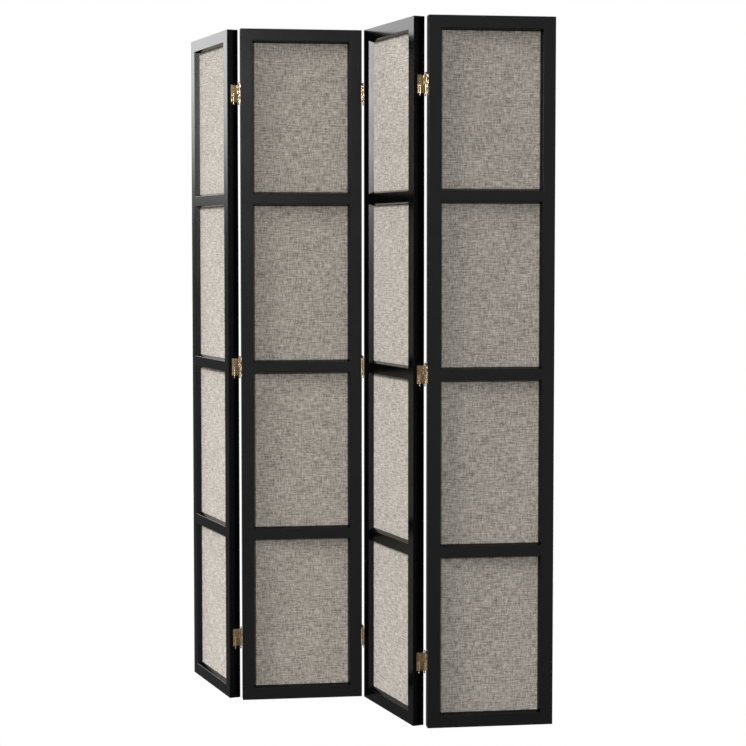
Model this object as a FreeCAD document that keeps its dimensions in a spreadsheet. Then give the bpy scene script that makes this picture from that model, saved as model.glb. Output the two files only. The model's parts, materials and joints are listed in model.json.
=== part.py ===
import FreeCAD, Part
import os
import re

# A free-standing folding screen: four framed panels in a zigzag, joined at three folds by
# split double-action hinges. Millimetres and degrees, +Z up. The origin is on the floor, in
# the middle of the zigzag, and X runs along it.
#
# A panel is modelled once, in its own frame: x runs from its left edge to its right edge,
# y from its front face to its back face, z from the floor up. A hinge is modelled once, in
# its own frame: z runs along its main pins, the panels lie along x, and +y points out of the
# faces that meet when the fold is closed.

doc = FreeCAD.newDocument("folding_screen")
sheet = doc.addObject("Spreadsheet::Sheet", "sizes")

DRIVING = {
    "panel_height": 1800.0,
    "panel_width": 324.0,
    "panel_thickness": 30.0,
    "zigzag_angle": 37.15,       # each panel's angle to the row
    "stile_width": 32.5,
    "end_rail_height": 32.0,
    "mid_rail_height": 28.5,
    "edge_radius": 1.0,
    "groove_depth": 6.0,
    "tenon_thickness": 10.0,
    "tenon_end_wall": 17.0,      # wood left between a tenon's end and the stile's outer edge
    "tenon_gap": 0.5,            # between a tenon and the corner of the board beside it
    "joint_fit": 0.1,            # round a tenon in its mortise, and each side of a board
    "board_thickness": 2.0,
    "board_edge_fit": 0.3,       # between a board's edge and the bottom of its groove
    "linen_thickness": 0.6,
    "linen_edge_fit": 0.3,       # between a piece of linen and the walls of its opening
    "bead_width": 4.75,          # what a bead covers of the linen
    "hinge_height": 46.0,
    "bottom_hinge_centre": 165.0,   # above the floor
    "top_hinge_centre": 169.5,      # below the panel's top
    "leaf_width": 20.0,
    "leaf_thickness": 1.5,
    "leaf_fit": 0.05,
    "link_thickness": 1.6,
    "pin_spacing": 15.0,         # between a hinge's two rows of pins
    "pin_proud": 1.0,            # main pins' axis outside the face
    "pin_radius": 1.5,
    "pin_fit": 0.05,
    "knuckle_radius": 2.9,
    "knuckle_clearance": 0.2,    # between a knuckle and the stiles' edges
    "knuckle_gap": 0.3,
    "ball_radius": 2.0,
    "ball_rise": 7.5,            # ball's far end beyond the knuckles
    "screw_length": 14.0,
    "screw_radius": 1.3,
    "screw_head_radius": 2.6,
    "screw_head_depth": 1.3,
    "screw_fit": 0.05,
    "screw_slot_width": 0.7,
    "screw_slot_depth": 0.5,
    "screw_spacing": 23.0,
}

DERIVED = {
    "opening_width": "=panel_width - 2 * stile_width",
    "mid_plane": "=panel_thickness / 2",
    "tenon_length": "=stile_width - tenon_end_wall",
    "tenon_shoulder": "=groove_depth + tenon_gap",
    "groove_width": "=board_thickness + 2 * joint_fit",
    "board_lap": "=groove_depth - board_edge_fit",
    "front_cloth": "=mid_plane - board_thickness / 2 - linen_thickness",   # the linens' outer faces
    "back_cloth": "=mid_plane + board_thickness / 2 + linen_thickness",
    "half_gap": "=knuckle_radius + knuckle_clearance",   # from a main pin's axis to an edge
    "knuckle_height": "=(hinge_height / 2 - 2.5 * knuckle_gap) / 3",
    "knuckle_pitch": "=knuckle_height + knuckle_gap",
    "middle_hinge_height": "=panel_height / 2",
    "top_hinge_height": "=panel_height - top_hinge_centre",
    # The fold axes in plan: the outer two at (-x, -y) and (x, -y), the middle one at (0, y).
    "panel_pitch": "=panel_width + 2 * half_gap",
    "face_pitch": "=panel_thickness + 2 * pin_proud",
    "fold_x": "=cos(zigzag_angle * 1deg) * panel_pitch + sin(zigzag_angle * 1deg) * face_pitch",
    "fold_y": "=(sin(zigzag_angle * 1deg) * panel_pitch - cos(zigzag_angle * 1deg) * face_pitch) / 2",
}

for row, (alias, value) in enumerate({**DRIVING, **DERIVED}.items(), start=1):
    sheet.set(f"A{row}", alias)
    sheet.set(f"B{row}", str(value))
    sheet.setAlias(f"B{row}", alias)
doc.recompute()

ALIASES = re.compile(r"\b(" + "|".join([*DRIVING, *DERIVED]) + r")\b")


def bind(item, **formulas):
    """Bind properties to formulas that use the sheet's names."""
    for name, formula in formulas.items():
        item.setExpression(name, ALIASES.sub(r"sizes.\1", formula))
    return item


def place(item, x="0", y="0", z="0", turn="0", axis="0; 0; 1"):
    """Turn an item about an axis through its own origin, then move it."""
    formula = f"placement(vector({x}; {y}; {z}); rotation(vector({axis}); {turn}))"
    return bind(item, Placement=formula)


def box(name, x, y, z):
    """A box from three (start, length) pairs of formulas."""
    item = doc.addObject("Part::Box", name)
    bind(item, Length=x[1], Width=y[1], Height=z[1])
    return place(item, x[0], y[0], z[0])


def rod(name, radius, height, x="0", y="0", z="0", turn="0", axis="0; 0; 1"):
    item = doc.addObject("Part::Cylinder", name)
    bind(item, Radius=radius, Height=height)
    return place(item, x, y, z, turn, axis)


def cut(name, base, tool):
    item = doc.addObject("Part::Cut", name)
    item.Base = base
    item.Tool = tool
    return item


def common(name, base, tool):
    item = doc.addObject("Part::Common", name)
    item.Base = base
    item.Tool = tool
    return item


def fuse(name, items):
    item = doc.addObject("Part::MultiFuse", name)
    item.Shapes = items
    item.Refine = True
    return item


def group(name, items):
    item = doc.addObject("Part::Compound", name)
    item.Links = items
    return item


# --- The rails' heights, from the floor up ---

RAILS = ["bottom_rail", "lower_rail", "middle_rail", "upper_rail", "top_rail"]
LAST = len(RAILS) - 1


def rail_span(number):
    """A rail's lowest and highest formulas. The middle rails divide the height evenly."""
    if number == 0:
        return "0", "end_rail_height"
    if number == LAST:
        return "(panel_height - end_rail_height)", "panel_height"
    centre = f"panel_height * {number} / {LAST}"
    return f"({centre} - mid_rail_height / 2)", f"({centre} + mid_rail_height / 2)"


def opening_span(number):
    """An opening's lowest and highest formulas, between rail number and the next one."""
    return rail_span(number)[1], rail_span(number + 1)[0]


# --- The frame, shaped as one blank and then taken apart into its members ---


def opening_box(name, number, side, depth_start, depth):
    """A box over an opening, larger than it by side all round, or smaller where side is negative."""
    low, high = opening_span(number)
    return box(name,
               (f"stile_width - ({side})", f"opening_width + 2 * ({side})"),
               (depth_start, depth),
               (f"{low} - ({side})", f"{high} - {low} + 2 * ({side})"))


def frame_blank():
    """The whole frame with its four openings, all its front, back and outer edges rounded."""
    outline = box("outline", ("0", "panel_width"), ("0", "panel_thickness"), ("0", "panel_height"))
    openings = [opening_box(f"opening_{number}", number, "0", "0", "panel_thickness")
                for number in range(LAST)]
    square = cut("square_frame", outline, group("openings", openings))
    doc.recompute()
    radius = sheet.get("edge_radius")
    sides = (0.0, sheet.get("panel_width"))
    slack = 0.01
    edges = []
    for number, edge in enumerate(square.Shape.Edges, start=1):
        bounds = edge.BoundBox
        on_a_face = bounds.YLength < slack
        on_a_side = min(abs(bounds.XMin - side) + abs(bounds.XMax - side) for side in sides) < slack
        if on_a_face or on_a_side:
            edges.append((number, radius, radius))
    rounded = doc.addObject("Part::Fillet", "frame_blank")
    rounded.Base = square
    rounded.Edges = edges
    return rounded


blank = frame_blank()


def tenon_box(name, number, start, fit):
    """A rail's tenon, starting at x = start, or its mortise where fit is the joint's fit."""
    low, high = rail_span(number)
    return box(name,
               (start, f"tenon_length + {fit}"),
               (f"mid_plane - tenon_thickness / 2 - {fit}", f"tenon_thickness + 2 * {fit}"),
               (f"{low} + tenon_shoulder - {fit}", f"{high} - {low} - 2 * tenon_shoulder + 2 * {fit}"))


def stile(side):
    """A stile with its mortises and with the groove that the boards stand in."""
    start = {"left": "0", "right": "panel_width - stile_width"}[side]
    inner = {"left": "stile_width - tenon_length - joint_fit", "right": "panel_width - stile_width"}[side]
    groove = {"left": "stile_width - groove_depth", "right": "panel_width - stile_width"}[side]
    region = box(f"{side}_stile_region", (start, "stile_width"), ("0", "panel_thickness"),
                 ("0", "panel_height"))
    joinery = [tenon_box(f"{side}_mortise_{number}", number, inner, "joint_fit")
               for number in range(LAST + 1)]
    joinery.append(box(f"{side}_groove", (groove, "groove_depth"),
                       ("mid_plane - groove_width / 2", "groove_width"),
                       ("end_rail_height - groove_depth",
                        "panel_height - 2 * end_rail_height + 2 * groove_depth")))
    blank_stile = common(f"{side}_stile_blank", blank, region)
    return cut(f"{side}_stile", blank_stile, fuse(f"{side}_joinery", joinery))


def rail(number):
    """A rail between the stiles, with a stub tenon at each end and a groove facing each opening."""
    name = RAILS[number]
    low, high = rail_span(number)
    region = box(f"{name}_region", ("stile_width", "opening_width"), ("0", "panel_thickness"),
                 (low, f"{high} - {low}"))
    left = tenon_box(f"{name}_left_tenon", number, "stile_width - tenon_length", "0")
    right = tenon_box(f"{name}_right_tenon", number, "panel_width - stile_width", "0")
    body = fuse(f"{name}_body", [common(f"{name}_blank", blank, region), left, right])
    grooves = []
    if number > 0:
        grooves.append(low)
    if number < LAST:
        grooves.append(f"{high} - groove_depth")
    tools = [box(f"{name}_groove_{index}", ("stile_width", "opening_width"),
                 ("mid_plane - groove_width / 2", "groove_width"), (start, "groove_depth"))
             for index, start in enumerate(grooves)]
    return cut(name, body, group(f"{name}_grooves", tools))


left_stile = stile("left")
right_stile = stile("right")
rails = [rail(number) for number in range(LAST + 1)]

# --- The boards in the grooves, and the linen on both their faces ---

boards = group("boards", [
    opening_box(f"board_{number}", number, "board_lap", "mid_plane - board_thickness / 2",
                "board_thickness")
    for number in range(LAST)])

front_linen = group("front_linen", [
    opening_box(f"front_linen_{number}", number, "-linen_edge_fit", "front_cloth", "linen_thickness")
    for number in range(LAST)])

back_linen = group("back_linen", [
    opening_box(f"back_linen_{number}", number, "-linen_edge_fit", "back_cloth - linen_thickness",
                "linen_thickness")
    for number in range(LAST)])

# --- The beads that hold the linens' edges down: round each opening, on both sides, four
# --- strips of triangular section that slope from the rim down to the linen.


def bead(name, corner, turn, axis, length, depth, foot):
    """One strip, mitred at both ends. Its own z runs along the wall, its y away from the wall and
    its x with the panel's y, between the two formulas of depth. Foot is the linen's face."""
    item = doc.addObject("Part::Wedge", name)
    bind(item, Xmin=depth[0], Xmax=depth[1], X2min=foot, X2max=foot, Ymin="0", Ymax="bead_width",
         Zmin="0", Zmax=length, Z2min="bead_width", Z2max=f"{length} - bead_width")
    return place(item, corner[0], "0", corner[1], turn, axis)


def bead_ring(side, number):
    """The four beads round one opening, on the front or the back of the linen."""
    low, high = opening_span(number)
    depth, foot = {"front": (("edge_radius", "front_cloth"), "front_cloth"),
                   "back": (("back_cloth", "panel_thickness - edge_radius"), "back_cloth")}[side]
    left, right = "stile_width", "(panel_width - stile_width)"
    walls = {
        "left": ((left, high), "180", "1; 1; 0", f"{high} - {low}"),
        "right": ((right, low), "90", "0; 0; 1", f"{high} - {low}"),
        "bottom": ((left, low), "120", "1; 1; 1", "opening_width"),
        "top": ((right, high), "120", "-1; -1; 1", "opening_width"),
    }
    return [bead(f"{side}_{wall}_bead_{number}", *where, depth, foot) for wall, where in walls.items()]


beads = group("beads", [strip for side in ("front", "back") for number in range(LAST)
                        for strip in bead_ring(side, number)])

# --- The hinge. Its left leaf and lower link belong to one panel, its right leaf and upper
# --- link to the other. Side is -1 for the left leaf and 1 for the right one, and half is 1
# --- above the hinge's middle and -1 below it.

MAIN_ROW = "0"
SECOND_ROW = "-pin_spacing"


def knuckle_start(half, number):
    """The lower end of one of the three knuckles of a half, counted from the hinge's middle."""
    if half > 0:
        return f"knuckle_gap / 2 + {number} * knuckle_pitch"
    return f"-(knuckle_gap / 2 + {number} * knuckle_pitch + knuckle_height)"


def bore(name, row):
    return rod(name, "pin_radius + pin_fit", "hinge_height", y=row, z="-hinge_height / 2")


def screw_centres(side):
    """Where the two screws of a leaf start, at the plate's face."""
    return [(f"{side} * half_gap", "-pin_spacing / 2", f"{half} * screw_spacing / 2") for half in (1, -1)]


def countersink(name, side, centre, fit):
    """A screw's cone and shank, larger by fit."""
    head = doc.addObject("Part::Cone", f"{name}_head")
    bind(head, Radius1=f"screw_head_radius + {fit}", Radius2=f"screw_radius + {fit}",
         Height="screw_head_depth")
    place(head, *centre, turn=f"{side} * 90", axis="0; 1; 0")
    shank = rod(f"{name}_shank", f"screw_radius + {fit}", f"screw_length + {fit}", *centre,
                turn=f"{side} * 90", axis="0; 1; 0")
    return fuse(name, [head, shank])


def plate(name, side, fit):
    """A leaf's plate, flush with the stile's edge, or its recess where fit is the leaf's fit."""
    start = {-1: f"-half_gap - leaf_thickness - {fit}", 1: "half_gap"}[side]
    return box(name, (start, f"leaf_thickness + {fit}"),
               (f"-pin_proud - leaf_width - {fit}", f"leaf_width + {fit}"),
               (f"-hinge_height / 2 - {fit}", f"hinge_height + 2 * {fit}"))


def leaf(name, side, rows):
    """A leaf: its plate, and two outer knuckles on one row of pins above and on one below."""
    web_start = {-1: "-half_gap - leaf_thickness / 2", 1: "half_gap - leaf_thickness"}[side]
    pieces = [plate(f"{name}_plate", side, "0")]
    for half, row in rows.items():
        for number in (0, 2):
            part = f"{name}_{half + 1}_{number}"
            start = knuckle_start(half, number)
            pieces.append(rod(f"{part}_knuckle", "knuckle_radius", "knuckle_height", y=row, z=start))
            pieces.append(box(f"{part}_web", (web_start, "1.5 * leaf_thickness"),
                              (f"{row} - knuckle_radius", "knuckle_radius - pin_proud"),
                              (start, "knuckle_height")))
    holes = [bore(f"{name}_main_bore", MAIN_ROW), bore(f"{name}_second_bore", SECOND_ROW)]
    for number, centre in enumerate(screw_centres(side)):
        holes.append(countersink(f"{name}_countersink_{number}", side, centre, "screw_fit"))
    return cut(name, fuse(f"{name}_body", pieces), group(f"{name}_holes", holes))


def link(name, half):
    """A link: a plate between the two rows of pins, with the middle knuckle on each of them."""
    bottom = {1: "knuckle_gap / 2", -1: "-hinge_height / 2"}[half]
    start = knuckle_start(half, 1)
    reach = "(knuckle_radius + knuckle_gap)"
    pieces = [
        box(f"{name}_plate", ("-link_thickness / 2", "link_thickness"),
            (f"-pin_spacing + {reach}", f"pin_spacing - 2 * {reach}"),
            (bottom, "hinge_height / 2 - knuckle_gap / 2")),
        box(f"{name}_tongue", ("-link_thickness / 2", "link_thickness"),
            ("-pin_spacing", "pin_spacing"), (start, "knuckle_height")),
        rod(f"{name}_main_knuckle", "knuckle_radius", "knuckle_height", y=MAIN_ROW, z=start),
        rod(f"{name}_second_knuckle", "knuckle_radius", "knuckle_height", y=SECOND_ROW, z=start),
    ]
    holes = [bore(f"{name}_main_bore", MAIN_ROW), bore(f"{name}_second_bore", SECOND_ROW)]
    return cut(name, fuse(f"{name}_body", pieces), group(f"{name}_holes", holes))


def pin(name, half, row):
    """A loose pin through one half's knuckles, with a ball at its outer end."""
    length = "hinge_height / 2 - knuckle_gap / 2 + ball_rise - ball_radius"
    start = {1: "knuckle_gap / 2", -1: f"-(knuckle_gap / 2 + {length})"}[half]
    shank = rod(f"{name}_shank", "pin_radius", length, y=row, z=start)
    ball = doc.addObject("Part::Sphere", f"{name}_ball")
    bind(ball, Radius="ball_radius")
    place(ball, y=row, z=f"{half} * (hinge_height / 2 + ball_rise - ball_radius)")
    return fuse(name, [shank, ball])


def screw(name, side, centre):
    """A slotted countersunk wood screw."""
    body = countersink(f"{name}_body", side, centre, "0")
    x, y, z = centre
    start = {-1: f"{x} - screw_slot_depth", 1: x}[side]
    slot = box(f"{name}_slot", (start, "screw_slot_depth"),
               (f"{y} - screw_slot_width / 2", "screw_slot_width"),
               (f"{z} - screw_head_radius", "2 * screw_head_radius"))
    return cut(name, body, slot)


def recess(name, side):
    """What is cut from a stile for one leaf: the plate's recess and the screws' pilot holes."""
    tools = [plate(f"{name}_plate", side, "leaf_fit")]
    for number, centre in enumerate(screw_centres(side)):
        tools.append(rod(f"{name}_pilot_{number}", "screw_radius + screw_fit",
                         "screw_length + screw_fit", *centre, turn=f"{side} * 90", axis="0; 1; 0"))
    return fuse(name, tools)


HALF_HINGES = {}
for title, side, rows, link_half in (("left", -1, {1: MAIN_ROW, -1: SECOND_ROW}, -1),
                                     ("right", 1, {1: SECOND_ROW, -1: MAIN_ROW}, 1)):
    HALF_HINGES[title] = {
        "recess": recess(f"{title}_recess", side),
        "hinge_leaves": [leaf(f"{title}_leaf", side, rows)],
        "hinge_links": [link(f"{title}_link", link_half)],
        "hinge_pins": [pin(f"{title}_pin_{half + 1}", half, row) for half, row in rows.items()],
        "hinge_screws": [screw(f"{title}_screw_{number}", side, centre)
                         for number, centre in enumerate(screw_centres(side))],
    }

HINGE_HEIGHTS = {"bottom": "bottom_hinge_centre", "middle": "middle_hinge_height",
                 "top": "top_hinge_height"}


def hinged(name, shapes, edge, fold):
    """Copies of a half hinge's shapes on a panel's edge, at the three hinges' heights.

    A fold closes at the panels' backs, or at their fronts, where the same hinge is turned round.
    """
    copies = []
    x = {"left": "-half_gap", "right": "panel_width + half_gap"}[edge]
    y = {"back": "panel_thickness + pin_proud", "front": "-pin_proud"}[fold]
    turn = {"back": "0", "front": "180"}[fold]
    for level, height in HINGE_HEIGHTS.items():
        copy = group(f"{name}_{edge}_{level}", shapes)
        copies.append(place(copy, x, y, height, turn))
    return copies


# --- The four panels: the half hinge that each one carries, and its edges that have a fold ---

PANELS = {
    "panel_1": ("left", {"right": "back"}),
    "panel_2": ("right", {"left": "back", "right": "front"}),
    "panel_3": ("left", {"left": "front", "right": "back"}),
    "panel_4": ("right", {"left": "back"}),
}

# Each panel turns about the fold axis that one of its corners lies on.
PANEL_PLACES = {
    "panel_1": ("-fold_x", "-fold_y", "-zigzag_angle", "panel_width + half_gap",
                "panel_thickness + pin_proud"),
    "panel_2": ("0", "fold_y", "zigzag_angle", "panel_width + half_gap", "-pin_proud"),
    "panel_3": ("0", "fold_y", "-zigzag_angle", "-half_gap", "-pin_proud"),
    "panel_4": ("fold_x", "-fold_y", "zigzag_angle", "-half_gap", "panel_thickness + pin_proud"),
}


def stand(item, panel):
    """Put a piece, modelled in the panel's own frame, where the panel stands in the row."""
    axis_x, axis_y, turn, own_x, own_y = PANEL_PLACES[panel]
    cosine = f"cos(({turn}) * 1deg)"
    sine = f"sin(({turn}) * 1deg)"
    return place(item,
                 f"{axis_x} - ({cosine} * ({own_x}) - {sine} * ({own_y}))",
                 f"{axis_y} - ({sine} * ({own_x}) + {cosine} * ({own_y}))",
                 "0", turn)


nodes = []


def node(panel, name, items):
    piece = stand(group(f"{panel}_{name}", items), panel)
    piece.Label = f"{panel}_{name}"
    nodes.append(piece)


for panel, (half_hinge, folds) in PANELS.items():
    hardware = HALF_HINGES[half_hinge]
    for edge, member in (("left", left_stile), ("right", right_stile)):
        if edge in folds:
            recesses = hinged(f"{panel}_recess", [hardware["recess"]], edge, folds[edge])
            member = cut(f"{panel}_{edge}_hinged_stile", member, fuse(f"{panel}_{edge}_recesses", recesses))
        node(panel, f"{edge}_stile", [member])
    for name, member in zip(RAILS, rails):
        node(panel, name, [member])
    node(panel, "boards", [boards])
    node(panel, "front_linen", [front_linen])
    node(panel, "back_linen", [back_linen])
    node(panel, "beads", [beads])
    for name in ("hinge_leaves", "hinge_links", "hinge_pins", "hinge_screws"):
        copies = [copy for edge, fold in folds.items()
                  for copy in hinged(f"{panel}_{name}", hardware[name], edge, fold)]
        node(panel, name, copies)

doc.recompute()

for item in doc.Objects:
    if "Invalid" in item.State or "Error" in item.State:
        raise RuntimeError(f"{item.Label} failed: {item.State}")
for piece in nodes:
    if piece.Shape.isNull() or not piece.Shape.isValid() or not piece.Shape.Solids:
        raise RuntimeError(f"{piece.Label} has no valid shape")

os.makedirs("parts", exist_ok=True)
for piece in nodes:
    piece.Shape.exportStep(f"parts/{piece.Label}.step")
print(len(nodes), "nodes; fold axes at x =", sheet.get("fold_x"), "y =", sheet.get("fold_y"))
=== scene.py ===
import json
import math
import random

import bmesh
import bpy
from mathutils import Matrix, Vector, noise

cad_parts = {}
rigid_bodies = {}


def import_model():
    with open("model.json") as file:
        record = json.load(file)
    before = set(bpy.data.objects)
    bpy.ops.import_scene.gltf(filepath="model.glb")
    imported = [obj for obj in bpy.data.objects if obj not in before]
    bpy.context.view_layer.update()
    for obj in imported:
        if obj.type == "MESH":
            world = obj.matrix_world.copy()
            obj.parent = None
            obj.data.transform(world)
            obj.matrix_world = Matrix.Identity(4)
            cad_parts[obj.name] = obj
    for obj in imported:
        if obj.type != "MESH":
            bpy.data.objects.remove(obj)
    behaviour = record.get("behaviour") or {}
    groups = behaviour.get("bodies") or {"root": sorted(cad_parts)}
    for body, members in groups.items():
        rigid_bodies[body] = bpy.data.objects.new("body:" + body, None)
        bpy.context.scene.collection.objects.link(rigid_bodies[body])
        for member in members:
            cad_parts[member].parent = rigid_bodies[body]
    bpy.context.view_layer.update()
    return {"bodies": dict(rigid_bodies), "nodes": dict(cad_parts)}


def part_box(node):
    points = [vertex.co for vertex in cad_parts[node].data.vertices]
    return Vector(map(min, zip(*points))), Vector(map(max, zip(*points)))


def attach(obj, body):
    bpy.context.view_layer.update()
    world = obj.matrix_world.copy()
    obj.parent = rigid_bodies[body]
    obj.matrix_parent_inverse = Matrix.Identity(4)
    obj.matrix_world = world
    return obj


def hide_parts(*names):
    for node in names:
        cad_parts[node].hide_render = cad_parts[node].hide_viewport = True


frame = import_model()
up = Vector((0, 0, 1))


# camera: round to the right of the screen, between the middle and upper rails, looking slightly down

cameraPlace = {
    "azimuth": 29.865,       # degrees round from the front, towards the right-hand end
    "distance": 4.692,       # from the screen's own axis, along the view
    "aside": 0.070,          # to the right of that line
    "height": 1.225,
    "lookDown": 3.14,        # degrees
    "lens": 85.53,
    "shiftY": -0.04,         # lets the camera look down less, so that upright edges stay nearly upright
}


def addCamera(place):
    turn = math.radians(place["azimuth"])
    ahead = Vector((-math.sin(turn), math.cos(turn), 0))
    rightward = Vector((math.cos(turn), math.sin(turn), 0))
    camera = bpy.data.objects.new("camera", bpy.data.cameras.new("camera"))
    bpy.context.scene.collection.objects.link(camera)
    camera.location = rightward * place["aside"] - ahead * place["distance"] + up * place["height"]
    camera.rotation_euler = (math.radians(90 - place["lookDown"]), 0, turn)
    camera.data.lens = place["lens"]
    camera.data.shift_y = place["shiftY"]
    bpy.context.scene.camera = camera


# studio: white all round for the camera, soft lamps for everything else

white = (1, 1, 1, 1)
studio = {
    "ambient": 0.14,
    "sunStrength": 3.3, "sunAzimuth": -44, "sunHeight": 32, "sunSpread": 20,
    # round lamps: the light starts at the outer half width and is full at the inner one, in degrees
    "softboxes": [
        {"azimuth": -104, "height": 27, "outer": 27, "inner": 21.5, "strength": 3.8},
        {"azimuth": 42, "height": 8, "outer": 37, "inner": 4, "strength": 0.75},
        {"azimuth": 40, "height": 56, "outer": 30, "inner": 20, "strength": 1.2},
        {"azimuth": 180, "height": 40, "outer": 50, "inner": 20, "strength": 1.6},
        {"azimuth": 33.3, "height": 5.2, "outer": 3.6, "inner": 1.7, "strength": 53},
    ],
    "floorSize": 40,
}


def directionTo(azimuth, height):
    turn, lift = math.radians(azimuth), math.radians(height)
    return Vector((math.sin(turn) * math.cos(lift), -math.cos(turn) * math.cos(lift), math.sin(lift)))


def addNode(tree, kind, settings=None, **inputs):
    node = tree.nodes.new(kind)
    for name, value in (settings or {}).items():
        setattr(node, name, value)
    for name, value in inputs.items():
        # n0, n1 and so on give an input by its number, because some inputs share a name
        plug = node.inputs[int(name[1:])] if name[0] == "n" and name[1:].isdigit() else node.inputs[name]
        if isinstance(value, bpy.types.NodeSocket):
            tree.links.new(value, plug)
        else:
            plug.default_value = value
    return node


def calculate(tree, operation, first, second=0.0):
    return addNode(tree, "ShaderNodeMath", {"operation": operation}, n0=first, n1=second).outputs[0]


def weighted(tree, *parts):
    total = None
    for value, share in parts:
        scaled = calculate(tree, "MULTIPLY", value, share)
        total = scaled if total is None else calculate(tree, "ADD", total, scaled)
    return total


def softStep(tree, value, low, high, start=0.0, end=1.0):
    step = addNode(tree, "ShaderNodeMapRange", {"interpolation_type": "SMOOTHSTEP"}, Value=value)
    for name, number in (("From Min", low), ("From Max", high), ("To Min", start), ("To Max", end)):
        step.inputs[name].default_value = number
    return step.outputs[0]


def addStudio(settings):
    scene = bpy.context.scene
    scene.view_settings.view_transform = "Standard"
    world = bpy.data.worlds.new("studio")
    scene.world = world
    world.use_nodes = True
    tree = world.node_tree
    tree.nodes.clear()
    ray = addNode(tree, "ShaderNodeTexCoord").outputs["Generated"]
    light = settings["ambient"]
    for box in settings["softboxes"]:
        towards = addNode(tree, "ShaderNodeVectorMath", {"operation": "DOT_PRODUCT"}, n0=ray,
                          n1=directionTo(box["azimuth"], box["height"])).outputs["Value"]
        outer, inner = (math.cos(math.radians(box[edge])) for edge in ("outer", "inner"))
        light = calculate(tree, "ADD", softStep(tree, towards, outer, inner, 0, box["strength"]), light)
    lamps = addNode(tree, "ShaderNodeBackground", Color=white, Strength=light)
    backdrop = addNode(tree, "ShaderNodeBackground", Color=white, Strength=1.0)
    seen = addNode(tree, "ShaderNodeLightPath").outputs["Is Camera Ray"]
    mixed = addNode(tree, "ShaderNodeMixShader", n0=seen, n1=lamps.outputs[0], n2=backdrop.outputs[0])
    addNode(tree, "ShaderNodeOutputWorld", n0=mixed.outputs[0])

    sun = bpy.data.objects.new("keyLamp", bpy.data.lights.new("keyLamp", "SUN"))
    scene.collection.objects.link(sun)
    towards = directionTo(settings["sunAzimuth"], settings["sunHeight"])
    sun.rotation_euler = towards.to_track_quat("Z", "Y").to_euler()
    sun.data.energy = settings["sunStrength"]
    sun.data.angle = math.radians(settings["sunSpread"])

    sheet = bmesh.new()
    bmesh.ops.create_grid(sheet, x_segments=1, y_segments=1, size=settings["floorSize"] / 2)
    floor = bpy.data.objects.new("floor", bpy.data.meshes.new("floor"))
    sheet.to_mesh(floor.data)
    sheet.free()
    scene.collection.objects.link(floor)
    material, tree, _ = newMaterial("paleFloor")
    tree.nodes.clear()
    glow = addNode(tree, "ShaderNodeEmission", Color=white, Strength=1.0)
    addNode(tree, "ShaderNodeOutputMaterial", n0=glow.outputs[0])
    floor.data.materials.append(material)
    floor.visible_diffuse = floor.visible_glossy = floor.visible_shadow = False


# materials

# a noise's scale is its number of humps in a metre, and every length is in metres
noiseRange = (0.3, 0.7)     # most of a noise's values lie between these


def newMaterial(name, **surface):
    material = bpy.data.materials.new(name)
    material.use_nodes = True
    tree = material.node_tree
    shader = tree.nodes["Principled BSDF"]
    for socket, value in surface.items():
        shader.inputs[socket.replace("_", " ")].default_value = value
    return material, tree, shader


def noiseAt(tree, place, scale, detail=2.0, roughness=0.5, stretch=(1, 1, 1)):
    spread = addNode(tree, "ShaderNodeMapping", n0=place)
    spread.inputs["Scale"].default_value = stretch
    return addNode(tree, "ShaderNodeTexNoise", Vector=spread.outputs[0], Scale=scale, Detail=detail,
                   Roughness=roughness).outputs["Fac"]


def ramp(tree, value, stops):
    node = addNode(tree, "ShaderNodeValToRGB", Fac=value)
    points = node.color_ramp.elements
    while len(points) < len(stops):
        points.new(0.5)
    for point, (position, colour) in zip(points, stops):
        point.position = position
        point.color = (*colour, 1)
    return node.outputs["Color"]


def addBump(tree, shader, height, distance, strength=1.0):
    bump = addNode(tree, "ShaderNodeBump", Height=height, Distance=distance, Strength=strength)
    tree.links.new(bump.outputs[0], shader.inputs["Normal"])


lacquer = {
    "tint": ((0.35, (0.0009, 0.0009, 0.0010)), (0.80, (0.0022, 0.0021, 0.0020))),
    "roughness": (0.145, 0.175), "ior": 1.30,
    "clouds": {"scale": 9, "detail": 3}, "cloudShare": 0.6,
    # fine marks, drawn out upright
    "grain": {"scale": 60, "detail": 3, "roughness": 0.6, "stretch": (6, 6, 0.25)}, "grainShare": 0.4,
    "peel": {"scale": 420}, "peelHeight": 0.000004, "grainHeight": 0.5,
}


def makeLacquer(finish):
    material, tree, shader = newMaterial("satinBlackLacquer", IOR=finish["ior"])
    place = addNode(tree, "ShaderNodeTexCoord").outputs["Object"]
    clouds = noiseAt(tree, place, **finish["clouds"])
    grain = noiseAt(tree, place, **finish["grain"])
    peel = noiseAt(tree, place, **finish["peel"])
    tree.links.new(ramp(tree, clouds, finish["tint"]), shader.inputs["Base Color"])
    mixed = weighted(tree, (clouds, finish["cloudShare"]), (grain, finish["grainShare"]))
    gloss = softStep(tree, mixed, *noiseRange, *finish["roughness"])
    tree.links.new(gloss, shader.inputs["Roughness"])
    height = weighted(tree, (peel, 1.0), (grain, finish["grainHeight"]))
    addBump(tree, shader, height, finish["peelHeight"])
    return material


board = {
    "tint": ((0.45, (0.0016, 0.0016, 0.0017)), (0.75, (0.0050, 0.0047, 0.0044))),
    "roughness": (0.62, 0.85), "ior": 1.4,
    "fibres": {"scale": 900, "detail": 3, "roughness": 0.7}, "fibreHeight": 0.0001,
}


def makeBoard(finish):
    material, tree, shader = newMaterial("mattBlackBoard", IOR=finish["ior"])
    place = addNode(tree, "ShaderNodeTexCoord").outputs["Object"]
    fibres = noiseAt(tree, place, **finish["fibres"])
    tree.links.new(ramp(tree, fibres, finish["tint"]), shader.inputs["Base Color"])
    tree.links.new(softStep(tree, fibres, *noiseRange, *finish["roughness"]), shader.inputs["Roughness"])
    addBump(tree, shader, fibres, finish["fibreHeight"])
    return material


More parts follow.
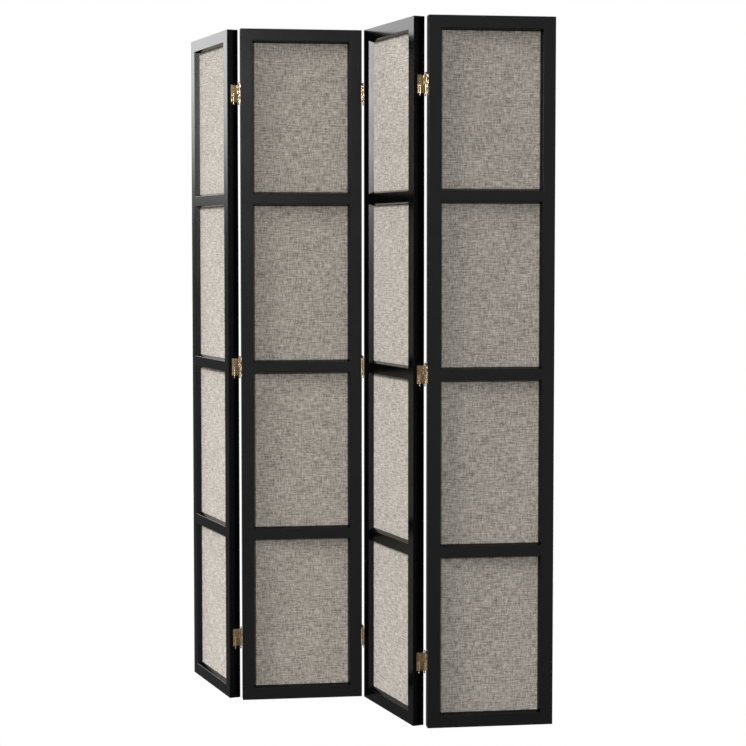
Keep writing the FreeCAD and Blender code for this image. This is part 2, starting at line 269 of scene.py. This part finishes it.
brass = {
    "bright": {"hinge": (0.80, 0.68, 0.49), "screws": (0.62, 0.49, 0.32)},
    "tarnished": (0.50, 0.36, 0.20), "tarnishFrom": 0.30, "tarnishFull": 0.85,
    "patina": {"scale": 70, "detail": 4, "roughness": 0.6}, "patinaShare": 0.5,
    # polishing marks run across the knuckles
    "lineScale": {"hinge": 2500, "screws": 4000}, "lineStretch": (0.12, 0.12, 1), "lineShare": 0.5,
    "roughness": (0.20, 0.27), "lineHeight": 0.0000012,
}


def makeBrass(name, use, finish):
    material, tree, shader = newMaterial(name, Metallic=1.0)
    place = addNode(tree, "ShaderNodeTexCoord").outputs["Object"]
    patina = noiseAt(tree, place, **finish["patina"])
    lines = noiseAt(tree, place, finish["lineScale"][use], stretch=finish["lineStretch"])
    tint = ((finish["tarnishFrom"], finish["bright"][use]), (finish["tarnishFull"], finish["tarnished"]))
    tree.links.new(ramp(tree, patina, tint), shader.inputs["Base Color"])
    tone = weighted(tree, (patina, finish["patinaShare"]), (lines, finish["lineShare"]))
    tree.links.new(softStep(tree, tone, *noiseRange, *finish["roughness"]), shader.inputs["Roughness"])
    addBump(tree, shader, lines, finish["lineHeight"])
    return material


linen = {
    "pitch": 0.00105,                      # from thread to thread
    "tint": ((0.41, (0.235, 0.204, 0.170)), (0.50, (0.490, 0.443, 0.385)), (0.605, (0.780, 0.730, 0.665))),
    "fine": {"scale": 1000, "roughness": 0.6},
    "slubs": {"scale": 280, "detail": 3, "roughness": 0.6},
    "warpStretch": (1, 0.16, 1), "weftStretch": (0.14, 1, 1), "warpShare": 0.50, "weftShare": 0.50,
    "clouds": {"scale": 14, "detail": 3},
    "slubTone": 0.70, "fineTone": 0.24, "cloudTone": 0.06,
    "knots": {"scale": 300, "detail": 0}, "knotFrom": 0.735, "knotFull": 0.78, "knot": (0.90, 0.87, 0.80),
    "waveHeight": 0.3, "slubHeight": 3.0, "knotHeight": 1.0,       # shares of threadHeight
    "threadHeight": 0.0013, "relief": 0.8,
    "roughness": 0.86, "specular": 0.25, "sheen": 0.25, "sheenRoughness": 0.45,
}


def makeLinen(cloth):
    material, tree, shader = newMaterial("slubLinen", Roughness=cloth["roughness"],
                                         Specular_IOR_Level=cloth["specular"], Sheen_Weight=cloth["sheen"],
                                         Sheen_Roughness=cloth["sheenRoughness"])
    across = addNode(tree, "ShaderNodeUVMap", {"uv_map": "weave"}).outputs["UV"]
    parts = addNode(tree, "ShaderNodeSeparateXYZ", n0=across)

    def threads(length, stretch):
        # a hump for each thread, and along it the slubs, which run two or three centimetres
        count = calculate(tree, "DIVIDE", length, cloth["pitch"])
        swell = calculate(tree, "SINE", calculate(tree, "MULTIPLY", count, math.pi))
        wave = calculate(tree, "ABSOLUTE", swell)
        fine = noiseAt(tree, across, stretch=stretch, **cloth["fine"])
        slubs = noiseAt(tree, across, stretch=stretch, **cloth["slubs"])
        return wave, fine, slubs

    warpWave, warpFine, warpSlubs = threads(parts.outputs["X"], cloth["warpStretch"])
    weftWave, weftFine, weftSlubs = threads(parts.outputs["Y"], cloth["weftStretch"])
    # where warp and weft take turns on top
    cells = addNode(tree, "ShaderNodeTexChecker", Vector=across, Scale=1 / cloth["pitch"]).outputs["Fac"]
    fine = addNode(tree, "ShaderNodeMix", n0=cells, n2=warpFine, n3=weftFine).outputs[0]
    wave = addNode(tree, "ShaderNodeMix", n0=cells, n2=warpWave, n3=weftWave).outputs[0]
    slubs = weighted(tree, (warpSlubs, cloth["warpShare"]), (weftSlubs, cloth["weftShare"]))
    clouds = noiseAt(tree, across, **cloth["clouds"])
    tone = weighted(tree, (slubs, cloth["slubTone"]), (fine, cloth["fineTone"]),
                    (clouds, cloth["cloudTone"]))
    knots = noiseAt(tree, across, **cloth["knots"])
    knotMask = softStep(tree, knots, cloth["knotFrom"], cloth["knotFull"])
    withKnots = addNode(tree, "ShaderNodeMix", {"data_type": "RGBA"}, n0=knotMask,
                        n6=ramp(tree, tone, cloth["tint"]), n7=(*cloth["knot"], 1))
    tree.links.new(withKnots.outputs[2], shader.inputs["Base Color"])
    height = weighted(tree, (wave, cloth["waveHeight"]), (slubs, cloth["slubHeight"]),
                      (knotMask, cloth["knotHeight"]))
    addBump(tree, shader, height, cloth["threadHeight"], cloth["relief"])
    return material


# linen sheets: one for each opening and side, stretched on the board

sheetMesh = {
    "cell": 0.006, "ripple": 0.00008, "rippleLength": 0.045,
    "clothSize": 3, "seed": 7,             # each piece is cut from anywhere on a cloth this long and wide
}


def widestFace(mesh):
    areas = {}
    for face in mesh.polygons:
        key = tuple(round(value, 3) for value in face.normal)
        areas[key] = areas.get(key, 0) + face.area
    return Vector(max(areas, key=areas.get)).normalized()


def span(points, direction):
    distances = [point.dot(direction) for point in points]
    return min(distances), max(distances)


def makeSheets(side, panel, material, settings, dice):
    node = f"{panel}_{side}_linen"
    mesh = frame["nodes"][node].data
    points = [vertex.co.copy() for vertex in mesh.vertices]
    low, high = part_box(node)
    boardLow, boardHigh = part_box(f"{panel}_boards")
    outward = widestFace(mesh)
    if outward.dot(low + high - boardLow - boardHigh) < 0:
        outward.negate()
    rightward = up.cross(outward)
    left, right = span(points, rightward)
    inner, outer = span(points, outward)
    levels = sorted({round(point.z, 5) for point in points})     # the lower and upper edge of each piece
    for number, (bottom, top) in enumerate(zip(levels[::2], levels[1::2]), 1):
        width, length = right - left, top - bottom
        cloth = bmesh.new()
        bmesh.ops.create_grid(cloth, x_segments=round(width / settings["cell"]),
                              y_segments=round(length / settings["cell"]), size=0.5)
        bmesh.ops.scale(cloth, vec=(width, length, 1), verts=cloth.verts)
        weave = cloth.loops.layers.uv.new("weave")
        start = Vector((dice.uniform(0, settings["clothSize"]), dice.uniform(0, settings["clothSize"])))
        for face in cloth.faces:
            for corner in face.loops:
                corner[weave].uv = corner.vert.co.xy + start
        for point in cloth.verts:
            wave = noise.noise(Vector((*(point.co.xy + start), 0)) / settings["rippleLength"])
            point.co.z = -settings["ripple"] * (1 + wave)
        middle = rightward * (left + right) / 2 + up * (bottom + top) / 2 + outward * outer
        bmesh.ops.transform(cloth, verts=cloth.verts, matrix=Matrix.Translation(middle)
                            @ Matrix((rightward, up, outward)).transposed().to_4x4())
        piece = bpy.data.objects.new(f"{node}_{number}", bpy.data.meshes.new(f"{node}_{number}"))
        cloth.to_mesh(piece.data)
        cloth.free()
        piece.data.materials.append(material)
        piece.data.shade_smooth()
        bpy.context.scene.collection.objects.link(piece)
        thick = piece.modifiers.new("thickness", "SOLIDIFY")
        thick.thickness = outer - inner - 2 * settings["ripple"]
        thick.offset = -1
        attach(piece, panel)
        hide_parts(node)


def dress(node, material):
    slots = frame["nodes"][node].material_slots
    for slot in slots:
        slot.material = material
    if not slots:
        frame["nodes"][node].data.materials.append(material)


addCamera(cameraPlace)
addStudio(studio)
print("camera and lamps set")

finishes = {
    "stile": makeLacquer(lacquer),
    "boards": makeBoard(board),
    "hinge": makeBrass("brass", "hinge", brass),
    "screws": makeBrass("brassScrew", "screws", brass),
}
for name in frame["nodes"]:
    kind = name.rsplit("_", 1)[1]
    if kind in ("stile", "rail", "beads"):
        dress(name, finishes["stile"])
    elif kind in ("boards", "screws"):
        dress(name, finishes[kind])
    elif "hinge" in name:
        dress(name, finishes["hinge"])
print("frames, boards and hinges finished")

slubLinen = makeLinen(linen)
dice = random.Random(sheetMesh["seed"])
for panel in sorted(frame["bodies"]):
    for side in ("front", "back"):
        makeSheets(side, panel, slubLinen, sheetMesh, dice)
print("linen stretched on the boards")
